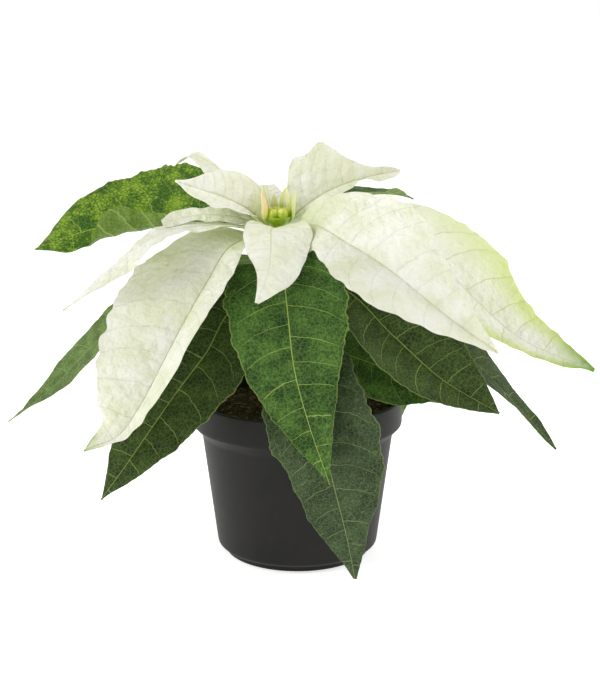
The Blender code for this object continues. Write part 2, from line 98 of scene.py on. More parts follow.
class Shade:
    """A socket in the node tree of a material or the sky. Arithmetic on it adds Math nodes."""

    def __init__(self, tree, socket=None):
        self.tree = tree
        self.socket = socket

    def node(self, kind, settings, sockets, output=0):
        """One output of a new node. Its settings come first, then the values or links of its sockets."""
        made = self.tree.nodes.new("ShaderNode" + kind)
        for name, value in settings.items():
            setattr(made, name, value)
        for name, value in sockets.items():
            if isinstance(value, Shade):
                self.tree.links.new(value.socket, made.inputs[name])
            else:
                made.inputs[name].default_value = value
        return Shade(self.tree, made.outputs[output])

    def maths(self, operation, *values):
        return self.node("Math", {"operation": operation}, dict(enumerate(values)))

    def __add__(self, other):
        return self.maths("ADD", self, other)

    def __sub__(self, other):
        return self.maths("SUBTRACT", self, other)

    def __rsub__(self, other):
        return self.maths("SUBTRACT", other, self)

    def __mul__(self, other):
        return self.maths("MULTIPLY", self, other)

    def __abs__(self):
        return self.maths("ABSOLUTE", self)

    __radd__ = __add__
    __rmul__ = __mul__

    def fract(self):
        return self.maths("FRACT", self)

    def between(self, low, high):
        """0 below low, 1 above high and smooth between them. high may be the lower one."""
        start, end, first, last = (low, high, 0, 1) if low < high else (high, low, 1, 0)
        return self.node("MapRange", {"interpolation_type": "SMOOTHSTEP", "clamp": True}, {
            "Value": self, "From Min": start, "From Max": end, "To Min": first, "To Max": last})

    def mix(self, first, second):
        """A colour that goes from the first to the second as this value goes from 0 to 1."""
        settings = {"data_type": "RGBA", "clamp_factor": True}
        return self.node("Mix", settings, {0: self, 6: first, 7: second}, 2)

    def part(self, index):
        """One of a vector's three values, as 0, 1 or 2."""
        return self.node("SeparateXYZ", {}, {0: self}, index)

    def noise(self, scale, detail=2, roughness=0.5):
        """Clouds about this place."""
        return self.node("TexNoise", {}, {
            "Vector": self, "Scale": scale, "Detail": detail, "Roughness": roughness})

    def cells(self, scale, feature="DISTANCE_TO_EDGE"):
        """Cells about this place: the distance to their edges, or with F1 to their middles."""
        return self.node("TexVoronoi", {"feature": feature}, {"Vector": self, "Scale": scale})

    def bump(self, distance, strength):
        """The surface's direction where this is its relief."""
        return self.node("Bump", {}, {"Height": self, "Distance": distance, "Strength": strength})


def colour(red, green, blue):
    """A colour read as 0 to 255 on a screen, as the shader wants it."""
    shares = [channel / 255 for channel in (red, green, blue)]
    return (*[share / 12.92 if share <= 0.04045 else ((share + 0.055) / 1.055) ** 2.4 for share in shares], 1)


def material(name, sockets, constants):
    """A material. `sockets` makes its linked sockets from the place on the object, a Shade."""
    made = bpy.data.materials.new(name)
    made.use_nodes = True
    tree = made.node_tree
    shader = tree.nodes["Principled BSDF"]
    for socket, value in constants.items():
        shader.inputs[socket].default_value = value
    place = Shade(tree).node("TexCoord", {}, {}, "Object")
    for socket, value in sockets(place).items():
        tree.links.new(value.socket, shader.inputs[socket])
    return made


def add_object(name, data):
    """A new object in the scene. Its mesh, lamp or camera gets the same name."""
    data.name = name
    made = bpy.data.objects.new(name, data)
    bpy.context.scene.collection.objects.link(made)
    return made


def mesh_of(shape):
    """The mesh of a bmesh, which is freed."""
    mesh = bpy.data.meshes.new("shape")
    shape.to_mesh(mesh)
    shape.free()
    return mesh


def modified_mesh(piece):
    """A copy of an object's mesh as its modifiers leave it."""
    graph = bpy.context.evaluated_depsgraph_get()
    return bpy.data.meshes.new_from_object(piece.evaluated_get(graph))


def place_piece(name, mesh, materials, nodes):
    """A smoothly shaded piece that stands for CAD nodes and rides on the one body."""
    piece = add_object(name, mesh)
    for part in materials:
        mesh.materials.append(part)
    mesh.shade_smooth()
    mesh.set_sharp_from_angle(angle=SMOOTH_ANGLE)
    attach(piece, "root")
    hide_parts(*nodes)
    return piece


def rounded(profile, reach):
    """A profile with each inner corner replaced by a short curve that starts `reach` before it."""
    profile = [Vector(point) for point in profile]
    softened = [profile[0]]
    for before, corner, after in zip(profile, profile[1:], profile[2:]):
        into, out = before - corner, after - corner
        start = corner + into * min(reach / into.length, CORNER_SHARE)
        end = corner + out * min(reach / out.length, CORNER_SHARE)
        for k in range(CORNER_STEPS + 1):
            share = k / CORNER_STEPS
            softened.append(start * (1 - share) ** 2 + corner * 2 * share * (1 - share) + end * share ** 2)
    return softened + [profile[-1]]


def turned(profile, steps):
    """A solid of revolution: a profile of (radius, height) points, run round the Z axis."""
    mesh = bpy.data.meshes.new("guide")
    mesh.from_pydata([(r, 0, z) for r, z in profile], [(k, k + 1) for k in range(len(profile) - 1)], [])
    guide = add_object("guide", mesh)
    screw = guide.modifiers.new("Turn", "SCREW")
    screw.steps = screw.render_steps = steps
    screw.use_merge_vertices = True
    screw.merge_threshold = WELD
    made = modified_mesh(guide)
    bpy.data.objects.remove(guide)
    return made


def pot_inside(gap=0.0):
    """The pot's inside in half section, from the middle of its floor up to its band, drawn in by a gap."""
    wall = WALL + gap
    floor = BASE_LIFT + wall
    return [
        (0, PAD_THICKNESS + gap), (PAD_RADIUS, PAD_THICKNESS + gap), (PAD_RADIUS + BASE_LIFT, floor),
        (FLOOR_RADIUS, floor), (BASE_RADIUS - wall - CORNER, FOOT_HEIGHT + CORNER + gap),
        (BASE_RADIUS - wall, FOOT_HEIGHT + 2 * CORNER),
        (NECK_RADIUS - wall, BAND_BOTTOM - SHOULDER_HEIGHT), (RIM_RADIUS - wall - BAND_EDGE, BAND_BOTTOM),
    ]


def pot_mesh():
    """The pot before its drain holes are cut: up its inside, over the rim and down its outside."""
    foot_inside = FOOT_RADIUS - FOOT_WIDTH
    outside = [
        (RIM_RADIUS - WALL - LIP, POT_HEIGHT), (RIM_RADIUS - LIP, POT_HEIGHT),
        (RIM_RADIUS, POT_HEIGHT - LIP), (RIM_RADIUS, BAND_BOTTOM + BAND_EDGE),
        (RIM_RADIUS - BAND_EDGE, BAND_BOTTOM), (NECK_RADIUS, BAND_BOTTOM - SHOULDER_HEIGHT),
        (BASE_RADIUS, FOOT_HEIGHT + BAND_EDGE), (BASE_RADIUS - BAND_EDGE, FOOT_HEIGHT),
        (FOOT_RADIUS + LIP, FOOT_HEIGHT - LIP), (FOOT_RADIUS, 0), (foot_inside, 0),
        (foot_inside - WALL, BASE_LIFT), (PAD_RADIUS + BASE_LIFT, BASE_LIFT), (PAD_RADIUS, 0), (0, 0),
    ]
    return turned(rounded(pot_inside() + outside, POT_ROUNDING), POT_STEPS)


def turns(count, first=0.0):
    """Angles that stand evenly all round."""
    return [first + 2 * math.pi * k / count for k in range(count)]


def punch_hole(piece, x, y):
    """Cuts one round drain hole up through the base of a piece."""
    shape = bmesh.new()
    bmesh.ops.create_cone(shape, cap_ends=True, segments=DRAIN_SIDES, radius1=DRAIN_RADIUS,
                          radius2=DRAIN_RADIUS, depth=PUNCH_LENGTH)
    bmesh.ops.translate(shape, verts=shape.verts, vec=(x, y, BASE_LIFT))
    punch = add_object("punch", mesh_of(shape))
    cut = piece.modifiers.new("Drain hole", "BOOLEAN")
    cut.object = punch
    piece.data = modified_mesh(piece)
    piece.modifiers.clear()
    bpy.data.objects.remove(punch)


def pot_sockets(place):
    grain = place.noise(POT_GRAIN, 3)
    cloud = place.noise(POT_CLOUDS, 4, 0.6)
    scuffs = place.noise(POT_SCUFFS, 5, 0.7).between(0.56, 0.74)
    tint = (cloud * 0.6 + grain * 0.4).between(0.3, 0.7).mix(colour(19, 18, 14), colour(28, 26, 22))
    return {
        "Base Color": (scuffs * 0.25).mix(tint, colour(52, 50, 46)),
        "Roughness": 0.46 + grain * 0.12 + scuffs * 0.1,
        "Normal": (grain + cloud * 0.4).bump(0.06 * MM, 0.5),
    }


pot_plastic = material("charcoal_plastic", pot_sockets, {"Specular IOR Level": 0.22})
nursery_pot = place_piece("nursery_pot", pot_mesh(), [pot_plastic], ["pot"])
for turn in turns(DRAIN_COUNT):
    punch_hole(nursery_pot, DRAIN_CIRCLE * math.cos(turn), DRAIN_CIRCLE * math.sin(turn))

# The potting soil: dark peat with bark chips and light fibres. It fills the pot to a finger's width
# under its rim, its top is rough, and a plain hole in its middle holds the stem.

SOIL_LEVEL = 83 * MM
SOIL_GAP = 0.35 * MM
SOIL_RINGS = 110
SOIL_SIDES = 300
# Heights and widths of the lumps in the top, in millimetres
SOIL_LUMPS = ((1.3, 9), (0.8, 3.4), (0.45, 1.3))
STEM_HOLE = 4.4 * MM
STEM_DEPTH = 24 * MM
SOIL_CRUMBS = 620
SOIL_GRAIN = 1500
SOIL_PATCHES = 90


def close_rings(shape, rings):
    """Faces that join each ring of points to the next, and close the first and the last."""
    for lower, upper in zip(rings, rings[1:]):
        for k in range(len(lower)):
            j = (k + 1) % len(lower)
            shape.faces.new((lower[k], lower[j], upper[j], upper[k]))
    shape.faces.new(rings[0][::-1])
    shape.faces.new(rings[-1])


def soil_relief(x, y):
    """How far the soil's top stands above its level at a place."""
    at = Vector((x, y, 0)) / MM
    return sum(height * noise.noise(at / width) for height, width in SOIL_LUMPS) * MM


def soil_mesh():
    """The soil's top as a fine round grid, closed by the pot's inside."""
    side = pot_inside(SOIL_GAP)
    edge = side[-1][0]
    top = [(radius, SOIL_LEVEL) for radius in np.linspace(STEM_HOLE, edge, SOIL_RINGS)]
    shape = bmesh.new()
    rings = []
    for radius, height in [(STEM_HOLE, SOIL_LEVEL - STEM_DEPTH)] + top + side[:0:-1]:
        ring = []
        for turn in turns(SOIL_SIDES):
            x, y = radius * math.cos(turn), radius * math.sin(turn)
            lift = soil_relief(x, y) if height == SOIL_LEVEL and STEM_HOLE < radius < edge else 0
            ring.append(shape.verts.new((x, y, height + lift)))
        rings.append(ring)
    close_rings(shape, rings)
    bmesh.ops.recalc_face_normals(shape, faces=shape.faces)
    return mesh_of(shape)


def soil_sockets(place):
    crumbs = place.cells(SOIL_CRUMBS, "F1")
    fine = place.noise(SOIL_GRAIN, 4, 0.7)
    dark = place.noise(SOIL_PATCHES, 3).mix(colour(34, 30, 18), colour(58, 48, 32))
    return {
        "Base Color": (fine.between(0.55, 0.72) * 0.6).mix(dark, colour(124, 98, 62)),
        "Normal": (crumbs + fine).bump(0.8 * MM, 0.8),
    }


peat = material("peat", soil_sockets, {"Roughness": 0.95, "Specular IOR Level": 0.2})
place_piece("potting_soil", soil_mesh(), [peat], ["soil"])

# Loose on the soil: bark chips with dented corners, and fibres like straw. Each pair is the range of a
# random draw, in millimetres or radians.

CHIP_COUNT = 900
FIBRE_COUNT = 170
LITTER_SEED = 5
LITTER_REACH = (0.014, 0.86)
LITTER_LIFT = 0.15 * MM
LITTER_TILT = (-0.4, 0.4)
LITTER_TURN = (0, 6.3)
CHIP_SIZE = (0.35, 1.3)
CHIP_STRETCH = (1, 2.2)
CHIP_THICKNESS = (0.35, 0.8)
CHIP_DENT = 0.22
FIBRE_LENGTH = (2, 6)
FIBRE_TILT = (1.3, 1.75)
FIBRE_RADIUS = 0.13 * MM
FIBRE_TAPER = 0.6
FIBRE_SIDES = 5
CHIP_KINDS = 420
CHIP_GRAIN = 2400
FIBRE_GRAIN = 700


def add_chip(shape, draw, lie):
    size = draw.uniform(*CHIP_SIZE) * MM
    stretch, thickness = draw.uniform(*CHIP_STRETCH), draw.uniform(*CHIP_THICKNESS)
    flat = Matrix.Diagonal((size * stretch, size, size * thickness, 1))
    made = bmesh.ops.create_icosphere(shape, subdivisions=1, radius=1, matrix=lie @ flat)
    for vertex in made["verts"]:
        vertex.co += Vector(draw.uniform(-CHIP_DENT, CHIP_DENT, 3)) * size


def add_fibre(shape, draw, lie):
    thin = Matrix.Diagonal((FIBRE_RADIUS, FIBRE_RADIUS, draw.uniform(*FIBRE_LENGTH) * MM, 1))
    down = Matrix.Rotation(draw.uniform(*FIBRE_TILT), 4, "Y")
    made = bmesh.ops.create_cone(shape, cap_ends=True, segments=FIBRE_SIDES, radius1=1,
                                 radius2=FIBRE_TAPER, depth=1, matrix=lie @ down @ thin)
    for face in {face for vertex in made["verts"] for face in vertex.link_faces}:
        face.material_index = 1


def litter_mesh():
    """Chips and then fibres all over the soil, in one mesh."""
    draw = np.random.default_rng(LITTER_SEED)
    shape = bmesh.new()
    for add in [add_chip] * CHIP_COUNT + [add_fibre] * FIBRE_COUNT:
        out = math.sqrt(draw.uniform(*LITTER_REACH)) * (RIM_RADIUS - WALL)
        turn = draw.uniform(0, 2 * math.pi)
        x, y = out * math.cos(turn), out * math.sin(turn)
        spot = Matrix.Translation((x, y, SOIL_LEVEL + soil_relief(x, y) + LITTER_LIFT))
        tilt = Matrix.Rotation(draw.uniform(*LITTER_TILT), 4, "X")
        add(shape, draw, spot @ (tilt @ Matrix.Rotation(draw.uniform(*LITTER_TURN), 4, "Z")))
    return mesh_of(shape)


def chip_sockets(place):
    fine = place.noise(CHIP_GRAIN, 3)
    wood = place.cells(CHIP_KINDS, "F1").between(0.2, 0.8).mix(colour(40, 32, 18), colour(116, 86, 50))
    return {
        "Base Color": (fine * 0.5).mix(wood, colour(58, 44, 28)),
        "Normal": fine.bump(0.3 * MM, 0.6),
    }


def fibre_sockets(place):
    fine = place.noise(FIBRE_GRAIN, 2)
    return {"Base Color": fine.between(0.35, 0.65).mix(colour(120, 92, 52), colour(186, 156, 96))}


chips = add_object("soil_chips", litter_mesh())
chips.data.materials.append(material("bark", chip_sockets, {"Roughness": 0.9}))
chips.data.materials.append(material("straw", fibre_sockets, {"Roughness": 0.7}))
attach(chips, "root")

# The stem: green, a little woody at its foot, with a low swelling where each petiole leaves it. It
# stands in the soil and carries every leaf, bract and bud, so it is placed after them.

STEM_RADIUS = 3.8 * MM
STEM_TOP_RADIUS = 2.7 * MM
STEM_TOP = 188 * MM
STEM_LEAN = [(0, 0), (0, 0), (-4, 1), (-8, 1), (-11, 0)]
SEAT_GAP = 0.3 * MM
STEM_STATIONS = 420
STEM_SIDES = 48
SWELLING = 0.28 * MM
SWELLING_REACH = 1.6 * MM
STEM_RIBS = 5
STEM_RIB_HEIGHT = 0.09 * MM
STEM_ROUGHNESS = 0.1 * MM
STEM_LUMP = 5 * MM
STEM_STREAKS = (900, 900, 60)
WOODY_BELOW = 96 * MM
GREEN_ABOVE = 150 * MM


def curve_through(values, at, places=None):
    """A smooth curve through values that stand evenly from 0 to 1, or at `places`, read at each of `at`."""
    values = np.asarray(values, float)
    if values.ndim == 0:
        return np.full(len(at), float(values))
    places = np.linspace(0, 1, len(values)) if places is None else places
    slopes = np.gradient(values, places, axis=0)
    at = np.clip(at, places[0], places[-1])
    k = np.clip(np.searchsorted(places, at, side="right") - 1, 0, len(values) - 2)
    column = (-1,) + (1,) * (values.ndim - 1)
    width = (places[k + 1] - places[k]).reshape(column)
    f = (at - places[k]).reshape(column) / width
    start, end = values[k], values[k + 1]
    leave, arrive = slopes[k] * width, slopes[k + 1] * width
    return (start + f * leave + f ** 2 * (3 * (end - start) - 2 * leave - arrive)
            + f ** 3 * (2 * (start - end) + leave + arrive))


def stem_axis(height):
    """The middle of the stem at a height above the table, in metres."""
    share = (height - (SOIL_LEVEL - STEM_DEPTH)) / (STEM_TOP - SOIL_LEVEL + STEM_DEPTH)
    x, y = curve_through(STEM_LEAN, np.array([share]))[0] * MM
    return np.array([x, y, height])


def stem_radius(height):
    share = (height - SOIL_LEVEL) / (STEM_TOP - SOIL_LEVEL)
    return STEM_RADIUS + (STEM_TOP_RADIUS - STEM_RADIUS) * min(max(share, 0), 1)


def stem_mesh(joints):
    """The stem as a ribbed tube that swells a little at each height where a petiole joins it."""
    shape = bmesh.new()
    rings = []
    for height in np.linspace(SOIL_LEVEL - STEM_DEPTH + SEAT_GAP, STEM_TOP, STEM_STATIONS):
        swell = sum(math.exp(-((height - joint) / SWELLING_REACH) ** 2) for joint in joints)
        plain = stem_radius(height) + (min(swell, 1) - 0.5) * SWELLING
        axis = stem_axis(height)
        ring = []
        for turn in turns(STEM_SIDES):
            x, y = math.cos(turn), math.sin(turn)
            lump = STEM_ROUGHNESS * noise.noise(Vector((x, y, height / STEM_LUMP)))
            radius = plain + STEM_RIB_HEIGHT * math.sin(STEM_RIBS * turn) + lump
            ring.append(shape.verts.new(axis + radius * np.array([x, y, 0])))
        rings.append(ring)
    close_rings(shape, rings)
    return mesh_of(shape)


def stem_sockets(place):
    streaks = place.node("Mapping", {}, {"Vector": place, "Scale": STEM_STREAKS}).noise(1, 3)
    body = place.part(2).between(WOODY_BELOW, GREEN_ABOVE).mix(colour(96, 92, 48), colour(112, 138, 62))
    return {
        "Base Color": (streaks.between(0.4, 0.75) * 0.4).mix(body, colour(150, 152, 92)),
        "Normal": streaks.bump(0.15 * MM, 0.5),
    }

# The green leaves. Each is one thin waxy blade on a round petiole, folded along its midrib, with a
# net of pale veins, a skin that bulges a little between them and a few blunt teeth. Every leaf is
# grown at one height on the stem, and its underside is paler.

# A petiole starts with a level stub, and turns into the blade over a share of the blade's length
STUB = 2 * MM
BLEND = 0.1
# The blade is thin, and at its margin this share as thick
BLADE = 0.45 * MM
BLADE_EDGE = 0.35
BLADE_EDGE_RAMP = 6
TIP_HALF_WIDTH = 0.5 * MM
TOOTH_DEPTH = 0.05
# Teeth and swellings are sines, made rounder by this power
ROUND_TOP = 0.8
WAVES = 2.5
WAVE_STARTS = (0, 0.37)
SMALL_ANGLE = 1e-4
MARGIN_APART = 0.1
PATH_STEPS = 400
COLUMN_POWER = 1.25
PETIOLE_STATIONS = 16
PETIOLE_SWEEP = math.radians(84)
# The midrib stands out below and leaves a groove above, both as shares of its radius
RIB_TAPER = 0.8
RIB_DEPTH = 0.8
RIB_WIDTH = 0.8
GROOVE_DEPTH = 0.3
GROOVE_WIDTH = 0.5
# Lateral veins run out from the midrib and bend towards the tip, more so near the margin
VEIN_SWEEP = 0.14
VEIN_CURL = 0.42
VEIN_CURL_POWER = 2.6
VEIN_OFFSET = 0.4
VEIN_WOBBLE = 0.12
WOBBLE_RATE = 1.9
WOBBLE_HALF = 2.3
WOBBLE_HEIGHT = 7 * MM
# The skin swells between the veins, and dies out at the midrib, the margin and the base
LUMP_SHARE = 0.45
LUMP = 14 * MM
# Two sizes of pucker, as share of the height, shift of the noise and size
PUCKERS = ((1, 1, 4.2 * MM), (0.5, 2, 2.2 * MM))
RIB_FLAT = 3 * MM
MARGIN_RAMP = 5
BASE_RAMP = 6
RUFFLE = 9 * MM
RUFFLE_POWER = 3
RUFFLE_STRETCH = (1, 1, 0.7)
RUFFLE_APART = 3
LEAF_SKIN = {"veins": 9, "quilt": 0.6, "pucker": 0.3, "ruffle": 0.8, "wander": (0.04, 3), "grid": (130, 20)}


def unit(vectors):
    return vectors / np.linalg.norm(vectors, axis=-1, keepdims=True)


def rough(points, size):
    """Noise from -1 to 1 at each of some points, in lumps of about `size`."""
    flat = points.reshape(-1, 3) / size
    return np.array([noise.noise(Vector(point)) for point in flat]).reshape(points.shape[:-1])


def go(distances, directions):
    """Steps from each station of a blade: its row of distances, each in the station's direction."""
    return distances[:, :, None] * directions[:, None]


def cell_corners(grid, flipped):
    """The corners of each cell of a grid, in order round it, as a list of cells."""
    corners = [grid[:-1, :-1], grid[:-1, 1:], grid[1:, 1:], grid[1:, :-1]]
    if flipped:
        corners.reverse()
    return np.stack(corners, axis=2).reshape(-1, 4, *grid.shape[2:])


class Leaf:
    """A leaf or bract: a petiole and midrib that follow points in space, and a blade whose two halves
    have their own widths, and fold, curl and wave about it. Sizes are in millimetres and angles in
    degrees. A shape value is a number, or a list that runs from the blade's base to its tip. Pairs are
    for the left half and the right one, as seen from the stem."""

    def __init__(self, height, points, petiole, halves, roll=0, fold=(10, 10), curl=(0, 0), wave=(1, 1),
                 rise=0.75, fall=1.1, teeth=0, stalk=1.2, seat=None):
        points = np.array(points, float) * MM
        self.height = height * MM
        if seat is None:
            axis = stem_axis(self.height)
            away = unit((points[0] - axis) * [1, 1, 0])
            seat = axis + away * (stem_radius(self.height) + SEAT_GAP)
            points = np.vstack([seat + away * STUB, points])
        self.points = np.vstack([seat, points])
        self.petiole, self.stalk = petiole * MM, stalk * MM
        self.halves, self.roll, self.fold, self.curl, self.wave = halves, roll, fold, curl, wave
        self.rise, self.fall, self.teeth = rise, fall, teeth
        run = self.distances(self.points)
        self.path = curve_through(self.points, np.linspace(0, run[-1], PATH_STEPS), run)
        self.run = self.distances(self.path)
        self.length = self.run[-1]

    @staticmethod
    def distances(points):
        steps = np.linalg.norm(np.diff(points, axis=0), axis=1)
        return np.concatenate([[0], np.cumsum(steps)])

    def midrib(self, share):
        """Points, and the directions to the left and up, at shares of the whole length."""
        heading = unit(np.gradient(self.path, self.run, axis=0))
        at = share * self.length
        point = np.stack([np.interp(at, self.run, self.path[:, k]) for k in range(3)], axis=1)
        along = unit(np.stack([np.interp(at, self.run, heading[:, k]) for k in range(3)], axis=1))
        reach = unit((self.points[-1] - self.points[0]) * [1, 1, 0])
        level = np.cross([0, 0, 1], reach)
        level = unit(level - (along @ level)[:, None] * along)
        up = np.cross(along, level)
        bare = self.petiole / self.length
        turn = np.radians(curve_through(self.roll, (share - bare) / (1 - bare)))[:, None]
        return point, level * np.cos(turn) + up * np.sin(turn), up * np.cos(turn) - level * np.sin(turn)

    def half_width(self, v, widths):
        """The width of half the blade along its length, with teeth if it has any. From one width it
        swells and tapers evenly; a list of widths it follows."""
        v = np.clip(v, 0, 1)
        if np.ndim(widths):
            half = curve_through(widths, v) * MM
        else:
            widest = self.rise / (self.rise + self.fall)
            half = widths * MM * (v / widest) ** self.rise * ((1 - v) / (1 - widest)) ** self.fall
        if self.teeth:
            half = half * (1 - TOOTH_DEPTH * np.abs(np.sin(np.pi * v * self.teeth)) ** ROUND_TOP)
        return np.maximum(half, TIP_HALF_WIDTH)

    def vein_count(self, index, v, across, veins):
        """How many lateral veins lie between the blade's base and each point, as a number with a share."""
        blade = self.length - self.petiole
        wide = np.max(self.halves[index]) * MM
        arch = wide * (VEIN_SWEEP * across / wide + VEIN_CURL * (across / wide) ** VEIN_CURL_POWER)
        count = (v[:, None] * blade - arch) / (blade / (veins + 0.5)) + VEIN_OFFSET * index
        turn = WOBBLE_RATE * count + WOBBLE_HALF * index + self.height / WOBBLE_HEIGHT
        return count + VEIN_WOBBLE * np.sin(turn)

    @staticmethod
    def relief(v, q, across, vein, place, skin):
        """How far the skin stands out at each point, in metres: swollen between veins, puckered, and
        ruffled towards the margin."""
        lumps = 1 + LUMP_SHARE * rough(place, LUMP)
        swell = (np.abs(np.sin(np.pi * vein)) ** ROUND_TOP - 0.5) * lumps
        puckers = sum(height * rough(place + apart, size) for height, apart, size in PUCKERS)
        ramp = np.clip(across / RIB_FLAT, 0, 1) * np.clip((1 - q) * MARGIN_RAMP, 0, 1)
        ramp = ramp * np.clip(v[:, None] * BASE_RAMP, 0, 1)
        ripple = skin["ruffle"] * q ** RUFFLE_POWER * rough(place * RUFFLE_STRETCH + RUFFLE_APART, RUFFLE)
        return ((skin["quilt"] * swell + skin["pucker"] * puckers) * ramp + ripple) * MM

    def half(self, index, v, point, left, up, skin):
        """The left (0) or right (1) half of the blade, as stations by columns out from the midrib: its
        top points, its bottom points and the four values that the materials read at each."""
        side = 1 - 2 * index
        q = np.linspace(0, 1, skin["grid"][1] + 1) ** COLUMN_POWER
        flat = np.clip(v / BLEND, 0, 1)[:, None]
        rib = (self.stalk * (1 - RIB_TAPER * np.clip(v, 0, 1)))[:, None]
        wander, step = skin["wander"]
        margin = np.stack(np.broadcast_arrays(v * self.length, self.height, side * MARGIN_APART), axis=1)
        half = (self.half_width(v, self.halves[index]) * (1 + wander * rough(margin, step * MM)))[:, None]
        across = half * q
        tilt = np.radians(curve_through(self.fold[index], v))[:, None]
        bend = np.radians(curve_through(self.curl[index], v))[:, None] + SMALL_ANGLE
        crest = np.sin(2 * np.pi * (WAVES * v + WAVE_STARTS[index]))
        lift = (curve_through(self.wave[index], v) * MM * crest)[:, None]
        vein = self.vein_count(index, v, across, skin["veins"])
        relief = self.relief(v, q, across, vein, point[:, None] + go(side * across, left), skin)
        out = half / bend * (np.sin(tilt + bend * q) - np.sin(tilt))
        rise = half / bend * (np.cos(tilt) - np.cos(tilt + bend * q)) + lift * q ** 2
        slope = (tilt + bend * q) * (q > 0)
        groove = GROOVE_DEPTH * rib * np.exp(-(across / (GROOVE_WIDTH * rib)) ** 2)
        thick = np.minimum(BLADE, BLADE * (BLADE_EDGE + BLADE_EDGE_RAMP * (1 - q)))
        thick = thick + RIB_DEPTH * rib * np.exp(-(across / (RIB_WIDTH * rib)) ** 2)
        angle = q * PETIOLE_SWEEP
        x = (1 - flat) * rib * np.sin(angle) + flat * out
        normal = go(np.cos(slope), up) - go(side * np.sin(slope), left)
        middle = point[:, None] + go(side * x, left) + go(flat * rise, up)
        middle = middle + (flat * relief)[:, :, None] * normal
        around = go((1 - flat) * rib * np.cos(angle), up)
        top = middle + around - (flat * groove)[:, :, None] * normal
        bottom = middle - around - (flat * thick)[:, :, None] * normal
        return top, bottom, np.stack(np.broadcast_arrays(side * q, v[:, None], vein, across / MM), axis=-1)

    def mesh(self, skin):
        """A closed skin: upper face, underside, margins and both ends. Its first UV map holds the shares
        across and along the blade, from -1 and 0 up to 1, and the second the count of lateral veins and
        the distance from the midrib in millimetres."""
        stations, columns = skin["grid"]
        bare = self.petiole / self.length
        stalk_at = np.linspace(0, bare, PETIOLE_STATIONS, endpoint=False)
        share = np.concatenate([stalk_at, bare + (1 - bare) * np.linspace(0, 1, stations)])
        v = (share - bare) / (1 - bare)
        midrib = self.midrib(share)
        (*left_faces, left), (*right_faces, right) = [self.half(index, v, *midrib, skin) for index in (0, 1)]
        faces = [np.hstack([lefts[:, :0:-1], rights]) for lefts, rights in zip(left_faces, right_faces)]
        top = np.arange(len(v) * (2 * columns + 1)).reshape(len(v), -1)
        bottom = top + top.size
        sheets = []
        for underside, grid in enumerate((top, bottom)):
            sheets.append((grid[:, :columns + 1], left[:, ::-1], underside, underside))
            sheets.append((grid[:, columns:], right, underside, underside))
        for column, values, flipped in ((0, left, False), (-1, right, True)):
            edge = np.stack([top[:, column], bottom[:, column]])
            sheets.append((edge, np.stack([values[:, -1]] * 2), flipped, 0))
        quads, spread, kinds = [], [], []
        for grid, values, flipped, kind in sheets:
            quads.extend(cell_corners(grid, flipped).tolist())
            spread.append(cell_corners(values, flipped).reshape(-1, 4))
            kinds.extend([kind] * (len(quads) - len(kinds)))
        ends = [[*top[0][::-1], *bottom[0]], [*top[-1], *bottom[-1][::-1]]]
        mesh = bpy.data.meshes.new("blade")
        mesh.from_pydata(np.vstack([face.reshape(-1, 3) for face in faces]).tolist(), [], quads + ends)
        mesh.polygons.foreach_set("material_index", kinds + [0] * len(ends))
        corners = np.zeros((len(mesh.loops), 4), np.float32)
        corners[:4 * len(quads)] = np.concatenate(spread)
        for layer, values in (("blade", corners[:, :2]), ("veins", corners[:, 2:])):
            mesh.uv_layers.new(name=layer).uv.foreach_set("vector", values.ravel())
        mesh.update()
        return mesh


def blade_map(place, layer):
    """The two values of one UV map of a blade."""
    spread = place.node("UVMap", {"uv_map": layer}, {})
    return spread.part(0), spread.part(1)


# Scales of the patterns in the skin of leaves and bracts, in lumps per metre
VEIN_WANDER = 160
VEIN_NET = 430
LEAF_CLOUDS = 90
SPECKS = 800
DUST_GRAINS = 1700
ISLANDS = 400
PORES = 820
UNDER_SPECKS = 700


def vein_lines(place, along, width):
    """Masks of the midrib, of the lateral veins, whose width is a share of their spacing, and of the
    net between them."""
    count, across = blade_map(place, "veins")
    wobble = (place.noise(VEIN_WANDER, 2) - 0.5) * 0.16
    off = abs((count + wobble + 0.5).fract() - 0.5)
    lateral = off.between(width * 2.0, width * 0.6) * along.between(-0.01, 0.03)
    rib = (across + along * 0.25).between(0.55, 0.2)
    net = place.cells(VEIN_NET).between(0.12, 0.02)
    return rib, lateral, net


